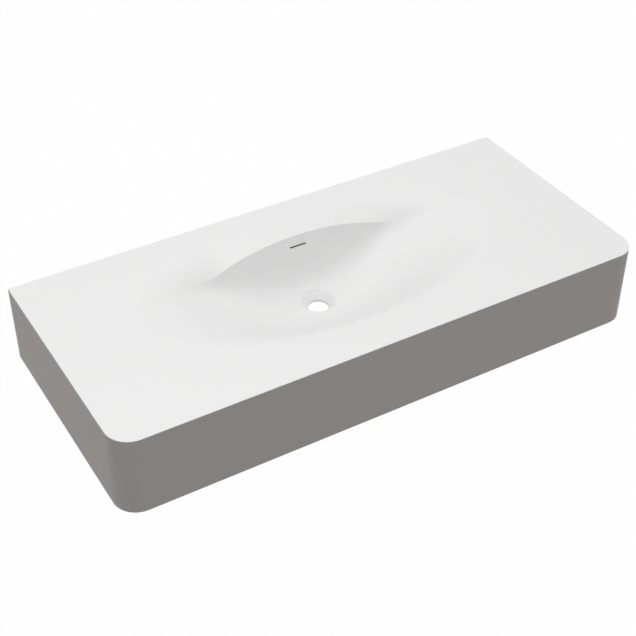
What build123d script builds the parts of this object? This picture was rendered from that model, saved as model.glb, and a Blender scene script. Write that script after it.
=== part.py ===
"""Wall-hung washbasin in solid surface: a white deck with a hollowed bowl over a taupe apron.

Millimetres. +X runs to the right along the front, +Y into the wall, +Z up. The origin lies on
the wall plane, at the middle of the four wall bolts.
"""

import os
from math import cos, hypot, pi, sqrt

from build123d import *

# Outside of the basin
width = 1200
depth = 540
height = 180
corner_radius = 50
sheet = 12  # thickness of the solid-surface sheet
edge_round = 1  # eased edge round the deck and along the foot of the apron
edge_land = 0.2  # straight edge between the round and the mitre
mitre_bond = 0.15  # glue line between deck and apron
bond = 0.3  # glue line of everything else

# Bowl, with setbacks measured from the wall
end_deck = 170  # flat deck between the bowl and each end
front_deck = 95  # flat deck between the bowl and the front
bowl_drop = 120
crease_setback = 129
crease_sweep = 76  # how far the crease swings forward by the end of the bowl
crease_arch = 142  # how far it would sink by then, if its arch went on
floor_setback = 215  # lowest line of the bowl
tip_setback = 255  # where the front edge runs out, at the bowl's ends
front_blend = 16  # softening of the front edge, each way
panel_back = 30  # the formed panel runs from here
panel_front_gap = 60  # and ends this far from the front
stations = 41

# Shares of the bowl's half length, drop or runs that shape it from its middle to its ends
crease_depth_share = 0.62  # the deepest that the crease lies, of the depth there
crease_fade_shares = (0.36, 0.60)  # where the crease starts to fade, and where it is gone
crease_end_powers = (2.8, 8)  # how late it swings forward, and how sharply its arch ends
wall_slope_shares = (3.9, 2.4)  # fall over run of the back wall at a crisp crease, and past its end
deck_slope_share = 1.35  # of the mean slope behind a crisp crease, at the crease
deck_handle_shares = (0.40, 0.50)  # at the flat deck behind a crisp crease, and past its end
roll_handle_shares = (0.36, 0.22)  # the same, at the crease
wall_handle_share = 0.9
floor_handle_shares = (0.65, 0.37)  # towards the crease, and towards the front edge
front_handle_shares = (0.40, 0.67)  # of the run to the lowest line, and of the drop
front_swing_shares = (0.6, 0.15, 0.25)

# Drain
drain_setback = 221
drain_bore = 46
drain_mouth = 70
drain_cone = 11
drain_land = 6  # straight wall under the cone
drain_lip = 3  # shallower cone round the mouth
drain_lip_rise = 1.5
boss_diameter = 104  # ring that levels the curved underside into a seat for the waste's nut
boss_edge = 2

# Overflow
slot_length = 40
slot_height = 4
slot_below_rim = 24
pad_reach = 19  # from the crease to the flat back of the pad that carries the hopper
pad_width = 104
pad_height = 38
pad_round = 6
hopper_flange_width = 92
hopper_flange_height = 30
hopper_flange = 3
hopper_flange_round = 6
gasket = 2
hopper_width = 62
hopper_reach = 30
hopper_wall = 2.5
hopper_round = 5
hopper_lip = 2  # flange standing round the hopper's top and foot
spigot_diameter = 20
spigot_bore = 15
spigot_length = 34
barb_height = 1.2
barb_length = 6
barb_count = 3
hopper_screw_spacing = 77
hopper_screw = 4
hopper_screw_length = 12
hopper_screw_head = 7.5
hopper_screw_head_height = 2.6
hopper_screw_slot = 1.2

# Timber frame under the deck
rail_height = 60
rail_thickness = 18
notch_gap = 4
batten = 22
batten_round = 2
rib_width = 64
rib_thickness = 18
rib_front_gap = 50
rib_clear = 2  # between a rib and the bowl's formed panel

# Steel wall brackets
bracket_inset = 8  # from the inner side of the ribs to that of the brackets
bolt_spacing_z = 90
bolt_hole = 11
plate_width = 60
plate_foot_gap = 12.3  # the plates end above the foot of the apron
plate_thickness = 5
plate_round = 6
web_thickness = 5
web_nose = 14  # the web's depth at the front end of the arm
web_foot_gap = 12
arm_width = 44
arm_thickness = 5
arm_front_gap = 110  # the arms end behind the front of the basin
arm_round = 8
arm_pad = 2  # neoprene strip on the arm

# Screws that hold the basin down on its brackets
screw_diameter = 8
screw_hole = 9
screw_length = 18
screw_setback_shares = (0.22, 0.82)  # along the arm
screw_head = 13
screw_head_height = 8
screw_head_edge = 0.8
screw_key = 6
screw_key_depth = 4
washer_diameter = 16
washer_thickness = 1.6
insert_diameter = 12
insert_length = 14
insert_flange = 16
insert_flange_thickness = 1
thread_gap = 0.1

overrun = 5  # how far a cutter runs past what it cuts

# Levels and lines that several pieces share
arm_drop = sheet + bond + rib_thickness + arm_pad  # from the deck down to the brackets' arms
rim = (height + arm_drop - plate_foot_gap) / 2  # puts the middle of the plates and bolts at zero
foot = rim - height
deck_under = rim - sheet
frame_top = deck_under - bond
inner_half = width / 2 - sheet - bond
inner_front = -depth + sheet + bond
rib_under = frame_top - rib_thickness
arm_top = rim - arm_drop
arm_under = arm_top - arm_thickness
boss_under = rim - bowl_drop - drain_cone - drain_land
slot_level = rim - slot_below_rim
pad_setback = crease_setback - pad_reach
bowl_half_length = width / 2 - end_deck
front_setback = depth - front_deck
rib_inside = bowl_half_length + rib_clear
web_inside = rib_inside + bracket_inset  # the web's inner face, flush with the plate
bolt_spacing_x = 2 * web_inside + plate_width
arm_length = depth - arm_front_gap
arm_screw_x = web_inside + (web_thickness + arm_width) / 2


def block(x0, x1, y0, y1, z0, z1):
    """A box between two corners."""
    size = Vector(x1 - x0, y1 - y0, z1 - z0)
    middle = Vector(x0 + x1, y0 + y1, z0 + z1) / 2
    return Pos(*middle) * Box(*size)


def rod(diameter, start, way, length):
    """A round bar from a point along an axis."""
    return extrude(Plane(origin=start, z_dir=way) * Circle(diameter / 2), amount=length)


def ease(value, low, high):
    """A smooth rise from 0 to 1 between low and high, without a jump in curvature."""
    part = min(max((value - low) / (high - low), 0), 1)
    return part**3 * (10 - 15 * part + 6 * part * part)


def unit(y, z):
    return y / hypot(y, z), z / hypot(y, z)


def mitre(first, second, thickness):
    """How far the corner of two surfaces moves when both are offset along their normals."""
    reach = thickness / (1 + first[0] * second[0] + first[1] * second[1])
    return Vector(0, (first[0] + second[0]) * reach, (first[1] + second[1]) * reach)


def outline(inset=0):
    """The basin's plan, round at the front and run past the wall plane at the back."""
    half = width / 2 - inset
    front = -depth + inset
    plan = Pos(0, (front + depth) / 2) * Rectangle(2 * half, depth - front)
    return fillet(plan.vertices().sort_by(Axis.Y)[:2], corner_radius - inset)


def softer(first, second, power):
    """The smaller of two values, eased where they cross."""
    return first * second / (first**power + second**power) ** (1 / power)


def bowl_section(x, thickness):
    """The closed section of the formed panel at one place along the basin."""
    share = abs(x) / bowl_half_length
    fall = cos(pi * share / 2) ** 2  # 1 in the middle, 0 at the bowl's ends
    gone = ease(share, *crease_fade_shares)
    swing = sum(s * share ** (2 * n) for n, s in enumerate(front_swing_shares, 1))
    sweep_power, arch_power = crease_end_powers

    def faded(shares):
        """A share that changes as the crease fades."""
        return shares[0] + (shares[1] - shares[0]) * gone

    # Five corners of the section, from the flat deck behind the bowl to the flat deck in front
    sunk = softer(crease_arch * share**2, crease_depth_share * bowl_drop * fall, arch_power)
    back = Vector(x, -panel_back, rim)
    crease = Vector(x, -crease_setback - crease_sweep * share**sweep_power, rim - sunk)
    front = Vector(x, -front_setback + (front_setback - tip_setback) * swing, rim)
    lead = Vector(x, -depth + panel_front_gap, rim)
    spread = (crease.Y - front.Y) / (front_setback - crease_setback)
    back_run = spread * (floor_setback - crease_setback)
    front_run = spread * (front_setback - floor_setback)
    low = Vector(x, crease.Y - back_run, rim - bowl_drop * fall)

    # The deck's slope and the wall's, either side of the crease, meet where it is gone
    run = back.Y - crease.Y
    crisp_wall, open_wall = wall_slope_shares
    deck_slope = deck_slope_share * sunk / run * (1 - gone) + open_wall * fall * gone
    wall_slope = crisp_wall * (1 - gone) + open_wall * fall * gone

    # Handles of the curves
    roll = run * faded(roll_handle_shares)
    deck_handle = back - Vector(0, run * faded(deck_handle_shares), 0)
    roll_handle = crease + Vector(0, roll, deck_slope * roll)
    drop = wall_handle_share * (crease.Z - low.Z)
    wall_handle = crease - Vector(0, drop / wall_slope, drop)
    floor_back = low + Vector(0, floor_handle_shares[0] * back_run, 0)
    floor_front = low - Vector(0, floor_handle_shares[1] * front_run, 0)
    run_share, drop_share = front_handle_shares
    reach = Vector(0, run_share * front_run, -drop_share * bowl_drop * fall)
    softening = front_blend / (run_share * (front_setback - floor_setback))
    front_low = front + reach * softening
    front_flat = front - Vector(0, front_blend, 0)

    # The underside follows at the sheet's thickness
    below = Vector(0, 0, -thickness)
    at_crease = mitre(unit(deck_slope, -1), unit(wall_slope, -1), thickness)
    at_front = mitre((0, -1), unit(reach.Z / reach.Y, -1), thickness)
    return Wire(
        [
            Edge.make_bezier(back, deck_handle, roll_handle, crease),
            Edge.make_bezier(crease, wall_handle, floor_back, low),
            Edge.make_bezier(low, floor_front, front + reach, front_low),
            Edge.make_bezier(front_low, front, front_flat),
            Edge.make_line(front_flat, lead),
            Edge.make_line(lead, lead + below),
            Edge.make_line(lead + below, front_flat + below),
            Edge.make_bezier(front_flat + below, front + at_front, front_low + at_front),
            Edge.make_bezier(
                front_low + at_front, front + reach + at_front, floor_front + below, low + below
            ),
            Edge.make_bezier(
                low + below, floor_back + below, wall_handle + at_crease, crease + at_crease
            ),
            Edge.make_bezier(
                crease + at_crease, roll_handle + at_crease, deck_handle + below, back + below
            ),
            Edge.make_line(back + below, back),
        ]
    )


def formed_panel(thickness):
    """The part of the deck that is formed into the bowl."""
    places = [2 * n / (stations - 1) - 1 for n in range(stations)]
    return Solid.make_loft([bowl_section(bowl_half_length * place, thickness) for place in places])


def mitred_body(lowered=0):
    """The deck's sheet below its eased edge, cut back at 45 degrees all round."""
    top = rim - edge_round - edge_land - lowered
    body = extrude(Pos(0, 0, top) * outline(), amount=edge_round + edge_land - sheet, taper=45)
    if lowered:
        body += extrude(Pos(0, 0, top) * outline(), amount=lowered)
    return body


def drain_cutter():
    """A straight bore, a cone and a shallower cone round the mouth, turned as one profile."""
    mouth = rim - bowl_drop
    bore_top = mouth - drain_cone
    profile = Polyline(
        (0, boss_under - overrun),
        (drain_bore / 2, boss_under - overrun),
        (drain_bore / 2, bore_top),
        (drain_mouth / 2, mouth),
        (drain_mouth / 2 + drain_lip, mouth + drain_lip_rise),
        (drain_mouth / 2 + drain_lip, mouth + drain_cone),
        (0, mouth + drain_cone),
        close=True,
    )
    turning = Plane(origin=(0, -drain_setback, 0), x_dir=(1, 0, 0), z_dir=(0, -1, 0))
    return revolve(turning * make_face(profile), Axis((0, -drain_setback, 0), (0, 0, 1)))


def slot_cutter():
    """The overflow slot, cut level from the bowl's wall out through the pad behind it."""
    plane = Plane(origin=(0, -pad_setback + overrun, slot_level), x_dir=(1, 0, 0), z_dir=(0, -1, 0))
    reach = crease_setback - pad_setback + 2 * overrun + sheet
    return extrude(plane * SlotOverall(slot_length, slot_height), amount=reach)


wall_side_of_basin = block(-width, width, 0, 2 * depth, foot - overrun, rim + overrun)

# White top: the mitred deck with its bowl
edge = extrude(Pos(0, 0, rim) * outline(), amount=-edge_round - edge_land)
edge = fillet(edge.edges().group_by(Axis.Z)[-1], edge_round)
deck = edge + mitred_body() - wall_side_of_basin
panel_front = -depth + panel_front_gap
deck -= block(
    -bowl_half_length, bowl_half_length, panel_front, -panel_back, deck_under - overrun, rim + overrun
)
basin_top = deck + formed_panel(sheet) - drain_cutter() - slot_cutter()

# Taupe apron round the left, front and right
apron = extrude(Pos(0, 0, foot) * outline(), amount=height - edge_round - edge_land)
apron = chamfer(apron.edges().group_by(Axis.Z)[0], edge_round)
apron -= extrude(Pos(0, 0, foot - overrun) * outline(sheet), amount=height + 2 * overrun)
apron -= mitred_body(mitre_bond * sqrt(2)) + wall_side_of_basin

# Ring bonded under the bowl, which the waste clamps on
shell_and_bond = formed_panel(sheet + bond)
drain_boss = rod(boss_diameter, (0, -drain_setback, boss_under), (0, 0, 1), drain_land + drain_cone)
drain_boss = chamfer(drain_boss.edges().group_by(Axis.Z)[0], boss_edge)
drain_boss -= shell_and_bond + drain_cutter()

# Pad bonded behind the wall of the bowl, and the overflow hopper on it
pad_top = frame_top - bond
overflow_pad = block(
    -pad_width / 2, pad_width / 2, -crease_setback - sheet, -pad_setback, pad_top - pad_height, pad_top
)
overflow_pad = fillet(overflow_pad.edges().filter_by(Axis.Y).group_by(Axis.Z)[0], pad_round)
overflow_pad = (overflow_pad - shell_and_bond).solids().sort_by(Axis.Y)[-1] - slot_cutter()

hopper_top = slot_level + slot_height / 2 + hopper_wall + hopper_lip
hopper_foot = hopper_top - hopper_flange_height
hopper_middle = (hopper_top + hopper_foot) / 2
screw_places = [(side * hopper_screw_spacing / 2, -pad_setback, hopper_middle) for side in (-1, 1)]
facing_back = Plane(origin=(0, -pad_setback, hopper_middle), x_dir=(-1, 0, 0), z_dir=(0, 1, 0))
flange = RectangleRounded(hopper_flange_width, hopper_flange_height, hopper_flange_round)
hopper_height = hopper_flange_height - 2 * hopper_lip
inner_width = hopper_width - 2 * hopper_wall
inner_height = hopper_height - 2 * hopper_wall
screw_pair = GridLocations(hopper_screw_spacing, 0, 2, 1)
screw_holes = Sketch() + screw_pair * Circle(hopper_screw / 2 + thread_gap)

overflow_gasket = extrude(
    facing_back * (flange - Rectangle(inner_width, inner_height) - screw_holes), amount=gasket
)

on_gasket = facing_back.offset(gasket)
shell = extrude(on_gasket * Rectangle(hopper_width, hopper_height), amount=hopper_reach)
shell = fillet(shell.edges().filter_by(Axis.Y) + shell.edges().group_by(Axis.Y)[-1], hopper_round)
overflow_hopper = shell + extrude(on_gasket * flange, amount=hopper_flange)
spigot_y = -pad_setback + gasket + (hopper_flange + hopper_reach) / 2
spigot_top = hopper_foot + hopper_lip + hopper_wall
spigot = rod(spigot_diameter, (0, spigot_y, spigot_top), (0, 0, -1), hopper_wall + spigot_length)
barb = Cone(spigot_diameter / 2, spigot_diameter / 2 + barb_height, barb_length)
spigot_end = spigot_top - hopper_wall - spigot_length
for n in range(barb_count):
    spigot += Pos(0, spigot_y, spigot_end + (n + 1 / 2) * barb_length) * barb
hollow = extrude(on_gasket * Rectangle(inner_width, inner_height), amount=hopper_reach - hopper_wall)
hollow = fillet(hollow.edges().group_by(Axis.Y)[-1], hopper_round - hopper_wall)
overflow_hopper += spigot
overflow_hopper -= hollow
spigot_hole = rod(spigot_bore, (0, spigot_y, hopper_middle), (0, 0, -1), hopper_height + spigot_length)
overflow_hopper -= spigot_hole
overflow_hopper -= extrude(on_gasket * screw_holes, amount=hopper_flange)

screw_reach = hopper_screw_length - gasket - hopper_flange
screw_solids = []
for x, y, z in screw_places:
    seat = y + gasket + hopper_flange
    overflow_pad -= rod(
        hopper_screw + 2 * thread_gap, (x, y, z), (0, -1, 0), screw_reach + thread_gap
    )
    head = rod(hopper_screw_head, (x, seat, z), (0, 1, 0), hopper_screw_head_height)
    head = chamfer(head.edges().group_by(Axis.Y)[-1], hopper_screw_head_height / 2)
    drive = Pos(x, seat + hopper_screw_head_height, z) * Box(
        hopper_screw_head / 2, hopper_screw_head_height, hopper_screw_slot
    )
    shank = rod(hopper_screw - 2 * thread_gap, (x, seat, z), (0, -1, 0), hopper_screw_length)
    screw_solids.append(head + shank - drive)
overflow_screws = Compound(screw_solids)

# Rear rail, notched over the wall brackets
rear_rail = block(-inner_half, inner_half, -rail_thickness, 0, frame_top - rail_height, frame_top)
for side in (-1, 1):
    near = side * (web_inside - notch_gap)
    far = side * (web_inside + plate_width + notch_gap)
    rear_rail -= block(
        min(near, far),
        max(near, far),
        -rail_thickness - overrun,
        overrun,
        frame_top - rail_height - overrun,
        arm_top + notch_gap,
    )

# Battens in the angle between deck and apron, and the blocks in the round corners
straight_half = width / 2 - corner_radius
straight_front = -depth + corner_radius
front_batten = block(
    -straight_half, straight_half, inner_front, inner_front + batten, frame_top - batten, frame_top
)
front_batten = fillet(
    front_batten.edges().filter_by(Axis.X).group_by(Axis.Z)[0].sort_by(Axis.Y)[-1], batten_round
)
right_batten = block(
    inner_half - batten, inner_half, straight_front, -rail_thickness - bond, frame_top - batten, frame_top
)
right_batten = fillet(
    right_batten.edges().filter_by(Axis.Y).group_by(Axis.Z)[0].sort_by(Axis.X)[0], batten_round
)
left_batten = mirror(right_batten, about=Plane.YZ)

corner_region = block(
    straight_half + bond, width, -depth, straight_front - bond, frame_top - batten, frame_top
)
right_corner_block = (
    extrude(Pos(0, 0, frame_top - batten) * outline(sheet + bond), amount=batten) & corner_region
)
left_corner_block = mirror(right_corner_block, about=Plane.YZ)

# Ribs under the deck and the strips on the arms
rib_back = -rail_thickness - bond
rib_front = inner_front + rib_front_gap
right_rib = block(rib_inside, rib_inside + rib_width, rib_front, rib_back, rib_under, frame_top)
arm_screws = [(arm_screw_x, -share * arm_length) for share in screw_setback_shares]
for x, y in arm_screws:
    right_rib -= rod(insert_diameter, (x, y, rib_under), (0, 0, 1), insert_length + thread_gap)
    right_rib -= rod(insert_flange, (x, y, rib_under), (0, 0, 1), insert_flange_thickness)

arm_plan = Pos(web_inside + arm_width / 2, -arm_length / 2) * Rectangle(arm_width, arm_length)
arm_plan = fillet(arm_plan.vertices().group_by(Axis.Y)[0], arm_round)
for x, y in arm_screws:
    arm_plan -= Pos(x, y) * Circle(screw_hole / 2)
behind_rail = block(-width, width, -rail_thickness - bond, 0, foot, rim)
right_arm_pad = extrude(Pos(0, 0, arm_top) * arm_plan, amount=arm_pad) - behind_rail

# Wall bracket: plate, arm and web
plate_foot = foot + plate_foot_gap
plate_middle = (bolt_spacing_x / 2, 0, (arm_top + plate_foot) / 2)
plate_plane = Plane(origin=plate_middle, x_dir=(-1, 0, 0), z_dir=(0, 1, 0))
plate = extrude(plate_plane * Rectangle(plate_width, arm_top - plate_foot), amount=-plate_thickness)
plate = fillet(plate.edges().filter_by(Axis.Y).group_by(Axis.Z)[0], plate_round)
arm = extrude(Pos(0, 0, arm_top) * arm_plan, amount=-arm_thickness)
web_profile = Polyline(
    (-plate_thickness, arm_under),
    (-arm_length + arm_round, arm_under),
    (-arm_length + arm_round, arm_under - web_nose),
    (-plate_thickness - web_nose, plate_foot + web_foot_gap),
    (-plate_thickness, plate_foot + web_foot_gap),
    close=True,
)
web_plane = Plane(origin=(web_inside, 0, 0), x_dir=(0, 1, 0), z_dir=(1, 0, 0))
web = extrude(web_plane * make_face(web_profile), amount=web_thickness)
right_bracket = plate + arm + web
for z in (-bolt_spacing_z / 2, bolt_spacing_z / 2):
    start = (bolt_spacing_x / 2, -plate_thickness - overrun, z)
    right_bracket -= rod(bolt_hole, start, (0, 1, 0), plate_thickness + 2 * overrun)

# Screws, washers and threaded inserts that hold the basin down
screws, washers, inserts = [], [], []
for x, y in arm_screws:
    washer = rod(washer_diameter, (x, y, arm_under), (0, 0, -1), washer_thickness)
    washers.append(washer - rod(screw_hole, (x, y, arm_under), (0, 0, -1), washer_thickness))
    seat = arm_under - washer_thickness
    head = rod(screw_head, (x, y, seat), (0, 0, -1), screw_head_height)
    head = chamfer(head.edges().group_by(Axis.Z)[0], screw_head_edge)
    key = Plane(origin=(x, y, seat - screw_head_height), z_dir=(0, 0, 1))
    head -= extrude(key * RegularPolygon(screw_key / 2, 6, major_radius=False), amount=screw_key_depth)
    screws.append(head + rod(screw_diameter, (x, y, seat), (0, 0, 1), screw_length))
    insert = rod(insert_diameter - 2 * thread_gap, (x, y, rib_under), (0, 0, 1), insert_length)
    insert += rod(insert_flange - 2 * thread_gap, (x, y, rib_under), (0, 0, 1), insert_flange_thickness)
    thread = rod(screw_diameter + 2 * thread_gap, (x, y, rib_under), (0, 0, 1), insert_length)
    inserts.append(insert - thread)


def both_sides(solids):
    """The pieces on the right and their mirror images on the left."""
    return Compound(solids + [mirror(solid, about=Plane.YZ) for solid in solids])


nodes = {
    "basin_top": basin_top,
    "apron": apron,
    "drain_boss": drain_boss,
    "overflow_pad": overflow_pad,
    "overflow_gasket": overflow_gasket,
    "overflow_hopper": overflow_hopper,
    "overflow_screws": overflow_screws,
    "rear_rail": rear_rail,
    "front_batten": front_batten,
    "left_batten": left_batten,
    "right_batten": right_batten,
    "left_corner_block": left_corner_block,
    "right_corner_block": right_corner_block,
    "left_rib": mirror(right_rib, about=Plane.YZ),
    "right_rib": right_rib,
    "left_arm_pad": mirror(right_arm_pad, about=Plane.YZ),
    "right_arm_pad": right_arm_pad,
    "left_bracket": mirror(right_bracket, about=Plane.YZ),
    "right_bracket": right_bracket,
    "rib_inserts": both_sides(inserts),
    "hold_down_screws": both_sides(screws),
    "hold_down_washers": both_sides(washers),
}

os.makedirs("parts", exist_ok=True)
for name, shape in nodes.items():
    export_step(shape, f"parts/{name}.step")
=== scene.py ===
"""Finishes the wall-hung washbasin: solid surface, timber frame, steel brackets and a studio."""

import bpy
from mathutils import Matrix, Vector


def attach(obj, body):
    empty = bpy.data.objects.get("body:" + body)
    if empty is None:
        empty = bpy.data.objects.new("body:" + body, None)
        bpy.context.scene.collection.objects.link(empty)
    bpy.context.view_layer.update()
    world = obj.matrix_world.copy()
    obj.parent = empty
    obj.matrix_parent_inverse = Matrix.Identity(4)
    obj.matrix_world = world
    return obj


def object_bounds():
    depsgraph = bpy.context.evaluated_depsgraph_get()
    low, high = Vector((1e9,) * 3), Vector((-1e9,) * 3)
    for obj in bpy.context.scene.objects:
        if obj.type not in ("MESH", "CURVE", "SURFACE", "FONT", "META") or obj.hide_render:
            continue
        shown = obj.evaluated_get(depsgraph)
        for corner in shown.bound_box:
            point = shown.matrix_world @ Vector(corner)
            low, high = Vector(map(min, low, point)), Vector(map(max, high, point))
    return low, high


bl_info = {
    "name": "Wall-Hung Washbasin",
    "version": (1, 0, 0),
    "blender": (4, 5, 0),
    "location": "3D View > Sidebar > Washbasin",
    "description": "Finishes, small workshop details and a studio for a wall-hung solid-surface washbasin",
    "category": "Object",
}

from math import cos, pi, radians, sin

import bmesh
import bpy
from bpy.props import FloatProperty, FloatVectorProperty, PointerProperty
from mathutils import Euler, Matrix, Vector

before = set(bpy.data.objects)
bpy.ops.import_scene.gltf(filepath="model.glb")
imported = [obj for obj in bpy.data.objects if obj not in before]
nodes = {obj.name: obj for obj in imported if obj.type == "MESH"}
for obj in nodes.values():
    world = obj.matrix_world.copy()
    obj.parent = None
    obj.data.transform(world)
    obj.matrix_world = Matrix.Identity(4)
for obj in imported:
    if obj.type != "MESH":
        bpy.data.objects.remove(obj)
cad_box = [list(corner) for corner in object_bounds()]

# Lengths are in metres, angles in degrees

RIGHT, LEFT = Vector((1, 0, 0)), Vector((-1, 0, 0))
BACK, FRONT = Vector((0, 1, 0)), Vector((0, -1, 0))
DOWN = Vector((0, 0, -1))
MERGE_DISTANCE = 0.00001
BEAD_CORNERS = 4
GLUE_GAP = 0.0003
GLUE_PITCH = 0.006
WELD_PITCH = 0.0004
WELD_SCALE = 0.0016
ARM_WELD_SHARES = (0.08, 0.40, 0.72)
PLATE_WELD_SHARES = (0.18, 0.62)
PLATE_STITCH_SHARE = 0.6
PLIES_PER_METRE = 667
GRAIN_ALONG, GRAIN_ACROSS = 18, 260
SHADE_LINING_CLEARANCE = 0.00005
SHADE_LINING_WALL = 0.0004
SHADE_LINING_SEGMENTS = 32
SENSOR_WIDTH = 36
CAMERA_PLACE = Vector((-1.12526, -2.11715, 1.56923))
CAMERA_RIGHT = Vector((0.86099, -0.50862, 0.00239))
CAMERA_UP = Vector((0.31271, 0.53304, 0.78618))
CAMERA_BACK = Vector((-0.40114, -0.67614, 0.61799))


# Shader helpers


class Value:
    """A socket that Python arithmetic works on, by adding Math nodes."""

    def __init__(self, tree, socket):
        self.tree = tree
        self.socket = socket

    def math(self, operation, *others):
        node = self.tree.nodes.new("ShaderNodeMath")
        node.operation = operation
        for place, item in enumerate((self, *others)):
            if isinstance(item, Value):
                self.tree.links.new(item.socket, node.inputs[place])
            else:
                node.inputs[place].default_value = item
        return Value(self.tree, node.outputs[0])

    def __add__(self, other):
        return self.math("ADD", other)

    def __radd__(self, other):
        return self.math("ADD", other)

    def __sub__(self, other):
        return self.math("SUBTRACT", other)

    def __rsub__(self, other):
        return (self * -1).math("ADD", other)

    def __mul__(self, other):
        return self.math("MULTIPLY", other)

    def __rmul__(self, other):
        return self.math("MULTIPLY", other)

    def __gt__(self, other):
        return self.math("GREATER_THAN", other)


class Nodes:
    """A node tree being made: adds nodes by type, settings and socket values."""

    def __init__(self, owner):
        owner.use_nodes = True
        self.owner = owner
        self.tree = owner.node_tree
        self.tree.nodes.clear()

    def add(self, kind, settings=None, inputs=None, output=None):
        node = self.tree.nodes.new(kind)
        for key, item in (settings or {}).items():
            if key == "stops":
                self.set_stops(node.color_ramp, item)
            else:
                setattr(node, key, item)
        shown = {socket.name: socket for socket in reversed(node.inputs) if socket.enabled}
        for key, item in (inputs or {}).items():
            if isinstance(item, Value):
                self.tree.links.new(item.socket, shown[key])
            else:
                shown[key].default_value = item
        outputs = [socket for socket in node.outputs if socket.enabled and output in (None, socket.name)]
        return Value(self.tree, outputs[0] if outputs else None)

    def set_stops(self, ramp, stops):
        while len(ramp.elements) < len(stops):
            ramp.elements.new(1)
        for element, (place, shade) in zip(ramp.elements, stops):
            element.position = place
            element.color = (shade, shade, shade, 1)

    def seen(self):
        """1 where a ray comes from the camera, off a mirror or through glass."""
        camera = self.add("ShaderNodeLightPath", output="Is Camera Ray")
        glossy = self.add("ShaderNodeLightPath", output="Is Glossy Ray")
        through = self.add("ShaderNodeLightPath", output="Is Transmission Ray")
        return camera.math("MAXIMUM", glossy).math("MAXIMUM", through)


class Finish(Nodes):
    """A material being made."""

    def __init__(self, name):
        super().__init__(bpy.data.materials.new(name))

    def place(self, scale=None):
        """Object coordinates, stretched where a grain asks for it."""
        point = self.add("ShaderNodeTexCoord", output="Object")
        if not scale:
            return point
        return self.add("ShaderNodeMapping", {"vector_type": "POINT"}, {"Vector": point, "Scale": scale})

    def noise(self, point, scale, detail=2, roughness=0.5):
        return self.add(
            "ShaderNodeTexNoise",
            {"noise_dimensions": "3D"},
            {"Vector": point, "Scale": scale, "Detail": detail, "Roughness": roughness},
            "Fac",
        )

    def grain(self, along):
        """Fibres that run along one axis."""
        scale = tuple(GRAIN_ALONG if axis == along else GRAIN_ACROSS for axis in "XYZ")
        return self.noise(self.place(scale), scale=1, detail=5, roughness=0.65)

    def cells(self, point, scale):
        return self.add(
            "ShaderNodeTexVoronoi", {"feature": "F1"}, {"Vector": point, "Scale": scale}, "Distance"
        )

    def ramp(self, factor, *stops):
        return self.add("ShaderNodeValToRGB", {"stops": stops}, {"Fac": factor}, "Color")

    def mix(self, factor, first, second):
        return self.add(
            "ShaderNodeMix",
            {"data_type": "RGBA"},
            {"Factor": factor, "A": colour(first), "B": colour(second)},
            "Result",
        )

    def bump(self, height, depth, strength=1.0):
        return self.add("ShaderNodeBump", None, {"Height": height, "Distance": depth, "Strength": strength})

    def surface(self, **sockets):
        names = {key: key.replace("_", " ") for key in sockets}
        shader = self.add(
            "ShaderNodeBsdfPrincipled", None, {names[key]: item for key, item in sockets.items()}
        )
        return self.finish(shader)

    def finish(self, shader):
        self.add("ShaderNodeOutputMaterial", None, {"Surface": shader})
        return self.owner


def colour(item):
    return item if isinstance(item, Value) else (*item[:3], 1)


def shade(item, factor):
    return tuple(channel * factor for channel in item)


# Finishes


def solid_surface(name, body, speck, roughness):
    """Honed mineral composite: fine grains in a barely clouded body, with a soft satin skin."""
    finish = Finish(name)
    point = finish.place()
    cloud = finish.noise(point, scale=5, detail=3)
    grain = finish.noise(point, scale=900)
    sparse = finish.cells(point, scale=420)
    grains = finish.ramp(sparse, (0.10, 1), (0.16, 0))
    clouded = finish.mix(cloud, shade(body, 0.992), shade(body, 1.008))
    grained = finish.mix(grain * 0.5, clouded, speck)
    tinted = finish.mix(grains * 0.35, grained, speck)
    hone = finish.noise(point, scale=260, detail=4, roughness=0.6)
    skin = finish.noise(point, scale=14)
    return finish.surface(
        Base_Color=tinted,
        Roughness=roughness + (hone - 0.5) * 0.12 + (skin - 0.5) * 0.06,
        Normal=finish.bump(hone, depth=0.00002, strength=0.5),
        IOR=1.5,
    )


def plywood(name, through, along, face):
    """Sealed birch plywood: plies with crossed grain and dark glue lines, seen on the edges."""
    finish = Finish(name)
    depth = finish.add("ShaderNodeSeparateXYZ", None, {"Vector": finish.place()}, through)
    layer = (depth - face) * PLIES_PER_METRE + 0.5
    crossed = (layer * 0.5).math("FRACT") > 0.5
    edge = (layer.math("FRACT") - 0.5).math("ABSOLUTE")
    glue_line = finish.ramp(edge, (0.42, 0), (0.48, 1))
    (across,) = set("XYZ") - {through, along}
    long_grain = finish.grain(along)
    cross_grain = finish.grain(across)
    light = finish.mix(long_grain, (0.50, 0.35, 0.21), (0.70, 0.55, 0.37))
    dark = finish.mix(cross_grain, (0.38, 0.25, 0.14), (0.60, 0.44, 0.27))
    plies = finish.mix(crossed, light, dark)
    return finish.surface(
        Base_Color=finish.mix(glue_line, plies, (0.12, 0.065, 0.03)),
        Roughness=0.42 + long_grain * 0.2,
        Normal=finish.bump(long_grain, depth=0.00015, strength=0.4),
    )


def timber(name, along):
    """Planed softwood, with the grain along the batten."""
    finish = Finish(name)
    grain = finish.grain(along)
    bands = finish.noise(finish.place(), scale=45)
    body = finish.mix(grain, (0.48, 0.31, 0.16), (0.68, 0.50, 0.30))
    return finish.surface(
        Base_Color=finish.mix(bands * 0.4, body, (0.42, 0.26, 0.13)),
        Roughness=0.5 + grain * 0.2,
        Normal=finish.bump(grain, depth=0.0002, strength=0.5),
    )


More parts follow.
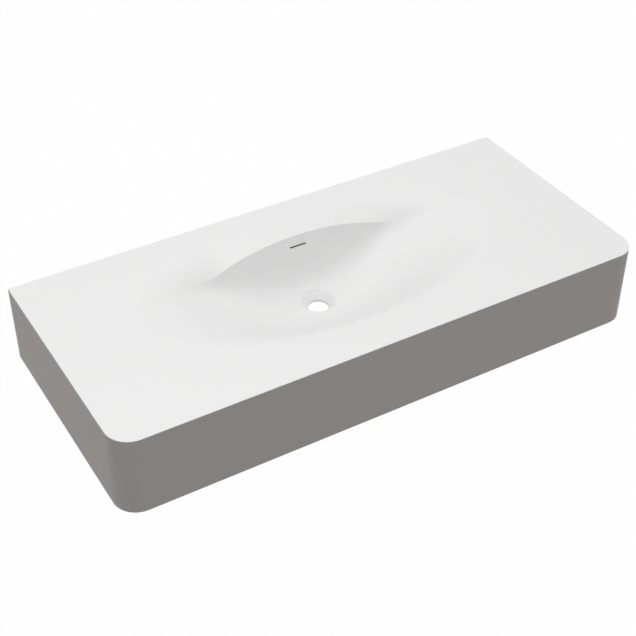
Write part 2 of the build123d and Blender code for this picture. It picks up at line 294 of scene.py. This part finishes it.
def powder_coat(name, body):
    """Powder coat on steel, with its orange peel and a faint clouding of its tone and gloss."""
    finish = Finish(name)
    point = finish.place()
    peel = finish.noise(point, scale=700)
    cloud = finish.noise(point, scale=40, detail=3)
    return finish.surface(
        Base_Color=finish.mix(cloud, shade(body, 0.94), body),
        Roughness=0.40 + (cloud - 0.5) * 0.15,
        Normal=finish.bump(peel, depth=0.00008, strength=0.6),
    )


def bare_metal(name, light, dark, roughness):
    """Plated or turned metal with a patchy sheen and fine tool marks."""
    finish = Finish(name)
    point = finish.place()
    patches = finish.cells(point, scale=500)
    marks = finish.noise(finish.place((1, 1, 30)), scale=220, detail=4)
    return finish.surface(
        Base_Color=finish.mix(patches, light, dark),
        Metallic=1.0,
        Roughness=roughness + marks * 0.18,
        Normal=finish.bump(marks, depth=0.00003, strength=0.5),
    )


def moulded(name, light, dark, roughness, scale, depth):
    """Moulded plastic or rubber with a fine texture."""
    finish = Finish(name)
    point = finish.place()
    texture = finish.noise(point, scale=scale, detail=3)
    cloud = finish.noise(point, scale=60, detail=3)
    return finish.surface(
        Base_Color=finish.mix(cloud, dark, light),
        Roughness=roughness + (texture - 0.5) * 0.2,
        Normal=finish.bump(texture, depth=depth, strength=0.7),
    )


def glue(name, body):
    """Cured adhesive squeezed out of a joint."""
    finish = Finish(name)
    point = finish.place()
    lumps = finish.noise(point, scale=180, detail=3)
    return finish.surface(
        Base_Color=finish.mix(lumps, shade(body, 0.85), body),
        Roughness=0.25 + lumps * 0.2,
        Normal=finish.bump(lumps, depth=0.0004, strength=0.6),
        Coat_Weight=0.2,
    )


def weld_metal(name, body):
    """The coat over a weld bead, a little glossier than the plate."""
    finish = Finish(name)
    point = finish.place()
    spatter = finish.noise(point, scale=500, detail=3)
    return finish.surface(
        Base_Color=finish.mix(spatter, shade(body, 0.85), body),
        Roughness=0.32 + spatter * 0.15,
        Normal=finish.bump(spatter, depth=0.0001, strength=0.6),
    )


def studio_floor(name, body, lift):
    """A pale floor that runs out to white and keeps the shadow of what hangs above it."""
    finish = Finish(name)
    point = finish.place()
    mottle = finish.noise(point, scale=3, detail=4)
    matte = finish.add(
        "ShaderNodeBsdfPrincipled",
        None,
        {"Base Color": finish.mix(mottle, shade(body, 0.99), body), "Roughness": 0.9},
    )
    glow = finish.add("ShaderNodeEmission", None, {"Color": (1, 1, 1, 1), "Strength": 1.0})
    shader = finish.add("ShaderNodeMixShader", None, {"Fac": finish.seen() * lift})
    node = shader.socket.node
    finish.tree.links.new(matte.socket, node.inputs[1])
    finish.tree.links.new(glow.socket, node.inputs[2])
    return finish.finish(shader)


# Making pieces


def dress(names, material):
    for name in names:
        for slot in nodes[name].material_slots:
            slot.material = material


def finish_piece(name, work, material):
    """Turns a bmesh into an object that rides with the basin."""
    bmesh.ops.remove_doubles(work, verts=work.verts, dist=MERGE_DISTANCE)
    bmesh.ops.recalc_face_normals(work, faces=work.faces)
    mesh = bpy.data.meshes.new(name)
    work.to_mesh(mesh)
    work.free()
    mesh.shade_smooth()
    mesh.materials.append(material)
    piece = bpy.data.objects.new(name, mesh)
    bpy.context.scene.collection.objects.link(piece)
    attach(piece, "root")
    return piece


def box(name):
    """The low and the high corner of a node."""
    places = [nodes[name].matrix_world @ vert.co for vert in nodes[name].data.vertices]
    low = Vector([min(place[axis] for place in places) for axis in range(3)])
    high = Vector([max(place[axis] for place in places) for axis in range(3)])
    return low, high


def lay_bead(work, start, end, walls, size, pitch, ripple):
    """Lays one bead in the corner of two walls: a rounded corner drawn along it, then made uneven."""
    run = end - start
    steps = max(2, round(run.length / pitch))
    first, second = walls
    laid_before = len(work.verts)
    profile = [work.verts.new(start)]
    for turn in range(BEAD_CORNERS + 1):
        angle = radians(90 * turn / BEAD_CORNERS)
        profile.append(work.verts.new(start + (first * cos(angle) + second * sin(angle)) * size))
    face = work.faces.new(profile)
    bmesh.ops.spin(
        work,
        geom=[face, *face.edges, *profile],
        cent=start,
        axis=run.normalized(),
        dvec=run / steps,
        angle=0,
        steps=steps,
        use_merge=False,
    )
    work.verts.ensure_lookup_table()
    for vert in work.verts[laid_before:]:
        along = (vert.co - start).dot(run) / run.length
        foot = start + run * (along / run.length)
        from_end = max(min(along, run.length - along), 0)
        taper = min(1.0, (from_end / size) ** 0.5 + 0.15)
        vert.co = foot + (vert.co - foot) * taper * (1 + ripple(along))


def glue_ripple(along):
    """Slow, uneven swelling of hand-run adhesive."""
    return 0.16 * sin(along * 61) + 0.11 * sin(along * 173 + 1.3) + 0.05 * sin(along * 410 + 0.4)


def weld_ripple(along):
    """The even scales of a weld run."""
    return 0.16 * abs(sin(along * pi / WELD_SCALE)) - 0.08


# What a user would change


def length_setting(name, description, default):
    return FloatProperty(name=name, description=description, subtype="DISTANCE", min=0, default=default)


def share_setting(name, description, default):
    return FloatProperty(
        name=name, description=description, subtype="FACTOR", min=0, max=1, default=default
    )


def power_setting(name, description, default):
    return FloatProperty(name=name, description=description, subtype="POWER", min=0, default=default)


def colour_setting(name, description, default):
    return FloatVectorProperty(
        name=name, description=description, subtype="COLOR", size=3, min=0, max=1, default=default
    )


class BasinSettings(bpy.types.PropertyGroup):
    """Colours and finishes of the basin."""

    white: colour_setting("Deck colour", "Body colour of the deck and the bowl", (0.80, 0.80, 0.797))
    taupe: colour_setting("Apron colour", "Body colour of the apron", (0.281, 0.260, 0.244))
    coat: colour_setting("Bracket colour", "Powder coat of the wall brackets", (0.62, 0.62, 0.60))
    adhesive: colour_setting("Adhesive colour", "Colour of the cured adhesive", (0.66, 0.62, 0.52))
    hone: share_setting("Deck roughness", "How matt the deck is honed", 0.46)
    apron_hone: share_setting("Apron roughness", "How matt the apron is honed", 0.54)
    glue_bead: length_setting("Adhesive bead", "Size of the adhesive beads", 0.0026)
    weld: length_setting("Weld", "Leg of the weld beads", 0.0034)
    stitch: length_setting("Weld stitch", "Length of a weld stitch", 0.06)
    plate: length_setting("Bracket plate", "Thickness of the brackets' steel", 0.005)
    arm: length_setting("Bracket arm", "Width of the arms", 0.044)
    slot_length: length_setting("Slot length", "Length of the overflow slot", 0.04)
    slot_height: length_setting("Slot height", "Height of the overflow slot", 0.004)
    slot_drop: length_setting("Slot drop", "From the deck down to the slot", 0.024)
    # The slot's lining is dark rubber that paints the shade inside the overflow slot
    slot_shade_lining: length_setting("Slot lining", "How far the rubber lip reaches into the slot", 0.0238)


class StudioSettings(bpy.types.PropertyGroup):
    """Floor, light and camera."""

    rim_height: length_setting("Rim height", "Height of the deck above the floor", 0.85)
    floor_size: length_setting("Floor size", "Side of the floor", 16.0)
    floor_lift: share_setting("Floor lift", "How far the camera sees the floor as plain white", 0.97)
    sky: share_setting("Sky", "Strength of the light from all round", 0.50)
    front_lamp: power_setting("Front lamp", "Power of the softbox in front", 76)
    back_lamp: power_setting("Back lamp", "Power of the softbox behind", 125)
    softbox: length_setting("Softbox", "Diameter of the two softboxes", 5.4)
    softbox_distance: length_setting("Softbox distance", "From the basin to a softbox", 6.0)
    near_lamp: power_setting("Near lamp", "Power of the small lamp by the left corner", 7.2)
    near_size: length_setting("Near lamp size", "Diameter of the small lamp", 1.2)
    near_distance: length_setting("Near lamp distance", "From the basin to the small lamp", 2.5)
    lens: FloatProperty(
        name="Lens", description="Focal length on a 36 mm sensor", subtype="DISTANCE_CAMERA", default=73.0
    )


def settings():
    return bpy.context.scene.washbasin, bpy.context.scene.washbasin_studio


# Operators


class WASHBASIN_OT_solid_surface(bpy.types.Operator):
    """Finish the deck, the bowl and the apron"""

    bl_idname = "washbasin.solid_surface"
    bl_label = "Solid Surface"

    def execute(self, context):
        basin, _ = settings()
        white = solid_surface("honed_white", tuple(basin.white), shade(basin.white, 0.97), basin.hone)
        dress(
            ["basin_top", "drain_boss", "overflow_pad", "left_corner_block", "right_corner_block"], white
        )
        taupe = solid_surface("honed_taupe", tuple(basin.taupe), shade(basin.taupe, 1.12), basin.apron_hone)
        dress(["apron"], taupe)
        return {"FINISHED"}


class WASHBASIN_OT_timber_frame(bpy.types.Operator):
    """Finish the rail, the ribs and the battens"""

    bl_idname = "washbasin.timber_frame"
    bl_label = "Timber Frame"

    def execute(self, context):
        rail_face = box("rear_rail")[0].y
        dress(["rear_rail"], plywood("rail_plywood", "Y", "X", rail_face))
        rib_face = box("left_rib")[0].z
        dress(["left_rib", "right_rib"], plywood("rib_plywood", "Z", "Y", rib_face))
        dress(["front_batten"], timber("front_batten_timber", "X"))
        dress(["left_batten", "right_batten"], timber("side_batten_timber", "Y"))
        return {"FINISHED"}


class WASHBASIN_OT_adhesive(bpy.types.Operator):
    """Lay the squeezed-out adhesive along the timber under the deck"""

    bl_idname = "washbasin.adhesive"
    bl_label = "Adhesive Beads"

    def execute(self, context):
        basin, _ = settings()
        size = basin.glue_bead
        under = box("rear_rail")[1].z + GLUE_GAP
        inside_x = box("left_batten")[0].x - GLUE_GAP
        inside_y = box("front_batten")[0].y - GLUE_GAP
        work = bmesh.new()

        def lay(start, end, *walls):
            lay_bead(work, Vector(start), Vector(end), walls, size, GLUE_PITCH, glue_ripple)

        low, high = box("front_batten")
        lay((low.x, high.y, under), (high.x, high.y, under), BACK, DOWN)
        lay((low.x, inside_y, low.z), (high.x, inside_y, low.z), BACK, DOWN)
        for side, inward in (("left", RIGHT), ("right", LEFT)):
            low, high = box(side + "_batten")
            deck_x, apron_x = (high.x, inside_x) if side == "left" else (low.x, -inside_x)
            lay((deck_x, low.y, under), (deck_x, high.y, under), inward, DOWN)
            lay((apron_x, low.y, low.z), (apron_x, high.y, low.z), inward, DOWN)
            low, high = box(side + "_rib")
            rib_start = low.y + size / 2
            lay((low.x, rib_start, under), (low.x, high.y, under), LEFT, DOWN)
            lay((high.x, rib_start, under), (high.x, high.y, under), RIGHT, DOWN)
            lay((low.x, low.y, under), (high.x, low.y, under), FRONT, DOWN)
        rail_front = box("rear_rail")[0].y
        met_by_rail = [box("left_batten"), box("left_rib"), box("right_rib"), box("right_batten")]
        for before, after in zip(met_by_rail, met_by_rail[1:]):
            lay((before[1].x, rail_front, under), (after[0].x, rail_front, under), FRONT, DOWN)
        adhesive = glue("cured_adhesive", tuple(basin.adhesive))
        finish_piece("adhesive_beads", work, adhesive)
        return {"FINISHED"}


class WASHBASIN_OT_brackets(bpy.types.Operator):
    """Finish the wall brackets and what holds the basin on them"""

    bl_idname = "washbasin.brackets"
    bl_label = "Wall Brackets"

    def execute(self, context):
        basin, _ = settings()
        dress(["left_bracket", "right_bracket"], powder_coat("powder_coat", tuple(basin.coat)))
        zinc = bare_metal(
            "bright_zinc", light=(0.72, 0.73, 0.74), dark=(0.55, 0.56, 0.58), roughness=0.25
        )
        dress(["hold_down_screws", "hold_down_washers", "overflow_screws"], zinc)
        brass = bare_metal(
            "turned_brass", light=(0.80, 0.62, 0.32), dark=(0.62, 0.45, 0.20), roughness=0.28
        )
        dress(["rib_inserts"], brass)
        neoprene = moulded(
            "neoprene", light=(0.05,) * 3, dark=(0.03,) * 3, roughness=0.8, scale=900, depth=0.0001
        )
        dress(["left_arm_pad", "right_arm_pad"], neoprene)
        return {"FINISHED"}


class WASHBASIN_OT_welds(bpy.types.Operator):
    """Lay the coated weld beads in the corners of the wall brackets"""

    bl_idname = "washbasin.welds"
    bl_label = "Welds"

    def execute(self, context):
        basin, _ = settings()
        work = bmesh.new()
        for name, outward in (("left_bracket", LEFT), ("right_bracket", RIGHT)):
            low, high = box(name)
            web_x = low.x + basin.plate if outward == RIGHT else high.x - basin.plate
            plate_y, arm_z = high.y - basin.plate, high.z - basin.plate
            arm_end = web_x + outward.x * (basin.arm - basin.plate)
            for share in ARM_WELD_SHARES:
                start = Vector((web_x, low.y * share, arm_z))
                self.weld(work, start, start + FRONT * basin.stitch, outward, DOWN)
            for share in PLATE_WELD_SHARES:
                start = Vector((web_x, plate_y, arm_z + (low.z - arm_z) * share))
                self.weld(work, start, start + DOWN * basin.stitch * PLATE_STITCH_SHARE, outward, FRONT)
            start = Vector((web_x + outward.x * basin.weld, plate_y, arm_z))
            end = Vector((arm_end - outward.x * basin.weld, plate_y, arm_z))
            self.weld(work, start, end, FRONT, DOWN)
        finish_piece("bracket_welds", work, weld_metal("coated_weld", tuple(basin.coat)))
        return {"FINISHED"}

    def weld(self, work, start, end, *walls):
        basin, _ = settings()
        lay_bead(work, start, end, walls, basin.weld, WELD_PITCH, weld_ripple)


class WASHBASIN_OT_overflow(bpy.types.Operator):
    """Finish the overflow hopper and its gasket, and line the slot with dark rubber that paints the shade
    inside it
    """

    bl_idname = "washbasin.overflow"
    bl_label = "Overflow"

    def execute(self, context):
        plastic = moulded(
            "hopper_plastic",
            light=(0.42, 0.43, 0.44),
            dark=(0.36, 0.37, 0.38),
            roughness=0.45,
            scale=1200,
            depth=0.00005,
        )
        dress(["overflow_hopper"], plastic)
        rubber = moulded(
            "gasket_rubber", light=(0.075,) * 3, dark=(0.05,) * 3, roughness=0.75, scale=900, depth=0.0001
        )
        dress(["overflow_gasket"], rubber)
        self.paint_slot_shade(rubber)
        return {"FINISHED"}

    def paint_slot_shade(self, rubber):
        """The gasket's thin dark lip, which lines the slot and stops short of the bowl; its dark rubber
        paints the shade inside the slot.
        """
        basin, _ = settings()
        level = cad_box[1][2] - basin.slot_drop
        back = box("overflow_gasket")[0].y
        radius = basin.slot_height / 2 - SHADE_LINING_CLEARANCE
        work = bmesh.new()
        circle = bmesh.ops.create_circle(work, cap_ends=False, radius=radius, segments=SHADE_LINING_SEGMENTS)
        ring = circle["verts"]
        for vert in ring:
            side = 1 if vert.co.x > 0 else -1
            vert.co.x += side * (basin.slot_length - basin.slot_height) / 2
        bmesh.ops.rotate(work, verts=ring, cent=(0, 0, 0), matrix=Matrix.Rotation(radians(90), 3, "X"))
        bmesh.ops.translate(work, verts=ring, vec=(0, back, level))
        drawn = bmesh.ops.extrude_edge_only(work, edges=work.edges)["geom"]
        front = [item for item in drawn if isinstance(item, bmesh.types.BMVert)]
        bmesh.ops.translate(work, verts=front, vec=FRONT * basin.slot_shade_lining)
        # Painted shade: a dark rubber sheet inside the overflow slot
        shade_lining = finish_piece("slot_shade_lining", work, rubber)
        wall = shade_lining.modifiers.new("wall", "SOLIDIFY")
        wall.thickness = SHADE_LINING_WALL
        wall.offset = -1


class WASHBASIN_OT_studio(bpy.types.Operator):
    """Lay the floor, hang the lamps and set the camera"""

    bl_idname = "washbasin.studio"
    bl_label = "Studio"

    def execute(self, context):
        _, studio = settings()
        rim = cad_box[1][2]
        self.lay_floor(studio, rim - studio.rim_height)
        self.light_room(studio)
        softbox = {"elevation": 65, "distance": studio.softbox_distance, "size": studio.softbox}
        self.hang_lamp("front_softbox", bearing=-45, power=studio.front_lamp, **softbox)
        self.hang_lamp("back_softbox", bearing=90, power=studio.back_lamp, **softbox)
        near = {"elevation": 45, "distance": studio.near_distance, "size": studio.near_size}
        self.hang_lamp("near_lamp", bearing=225, power=studio.near_lamp, **near)
        self.set_camera(studio, rim)
        return {"FINISHED"}

    def lay_floor(self, studio, level):
        work = bmesh.new()
        bmesh.ops.create_grid(work, x_segments=1, y_segments=1, size=studio.floor_size / 2)
        bmesh.ops.translate(work, verts=work.verts, vec=(0, 0, level))
        mesh = bpy.data.meshes.new("studio_floor")
        work.to_mesh(mesh)
        work.free()
        mesh.materials.append(studio_floor("pale_floor", (0.86, 0.86, 0.86), studio.floor_lift))
        floor = bpy.data.objects.new("studio_floor", mesh)
        bpy.context.scene.collection.objects.link(floor)

    def light_room(self, studio):
        scene = bpy.context.scene
        scene.world = bpy.data.worlds.new("studio_room")
        room = Nodes(scene.world)
        strength = studio.sky + room.seen() * (1.0 - studio.sky)
        light = room.add("ShaderNodeBackground", None, {"Color": (1, 1, 1, 1), "Strength": strength})
        room.add("ShaderNodeOutputWorld", None, {"Surface": light})
        scene.view_settings.view_transform = "Standard"

    def hang_lamp(self, name, bearing, power, elevation, distance, size):
        data = bpy.data.lights.new(name, "AREA")
        data.shape = "DISK"
        data.size = size
        data.energy = power
        lamp = bpy.data.objects.new(name, data)
        way = Euler((0, -radians(elevation), radians(bearing))).to_matrix() @ Vector((1, 0, 0))
        low, high = (Vector(corner) for corner in cad_box)
        lamp.location = Vector(((low.x + high.x) / 2, (low.y + high.y) / 2, high.z)) + way * distance
        lamp.rotation_euler = way.to_track_quat("Z", "Y").to_euler()
        bpy.context.scene.collection.objects.link(lamp)

    def set_camera(self, studio, rim):
        data = bpy.data.cameras.new("studio_camera")
        data.sensor_width = SENSOR_WIDTH
        data.lens = studio.lens
        camera = bpy.data.objects.new("studio_camera", data)
        turn = Matrix((CAMERA_RIGHT, CAMERA_UP, CAMERA_BACK)).transposed().to_4x4()
        camera.matrix_world = Matrix.Translation(CAMERA_PLACE + Vector((0, 0, rim))) @ turn
        bpy.context.scene.collection.objects.link(camera)
        bpy.context.scene.camera = camera


class WASHBASIN_PT_panel(bpy.types.Panel):
    """Lists the settings and the steps"""

    bl_idname = "WASHBASIN_PT_panel"
    bl_label = "Washbasin"
    bl_space_type = "VIEW_3D"
    bl_region_type = "UI"
    bl_category = "Washbasin"

    def draw(self, context):
        for group in settings():
            for name in group.bl_rna.properties.keys():
                if name not in {"rna_type", "name"}:
                    self.layout.prop(group, name)
        for step in STEPS:
            self.layout.operator(step.bl_idname)


STEPS = (
    WASHBASIN_OT_solid_surface,
    WASHBASIN_OT_timber_frame,
    WASHBASIN_OT_adhesive,
    WASHBASIN_OT_brackets,
    WASHBASIN_OT_welds,
    WASHBASIN_OT_overflow,
    WASHBASIN_OT_studio,
)
CLASSES = (BasinSettings, StudioSettings, *STEPS, WASHBASIN_PT_panel)


def register():
    for item in CLASSES:
        bpy.utils.register_class(item)
    bpy.types.Scene.washbasin = PointerProperty(type=BasinSettings)
    bpy.types.Scene.washbasin_studio = PointerProperty(type=StudioSettings)


def unregister():
    del bpy.types.Scene.washbasin_studio
    del bpy.types.Scene.washbasin
    for item in reversed(CLASSES):
        bpy.utils.unregister_class(item)


def main():
    register()
    for step in STEPS:
        group, name = step.bl_idname.split(".")
        getattr(getattr(bpy.ops, group), name)()


if __name__ == "__main__":
    main()
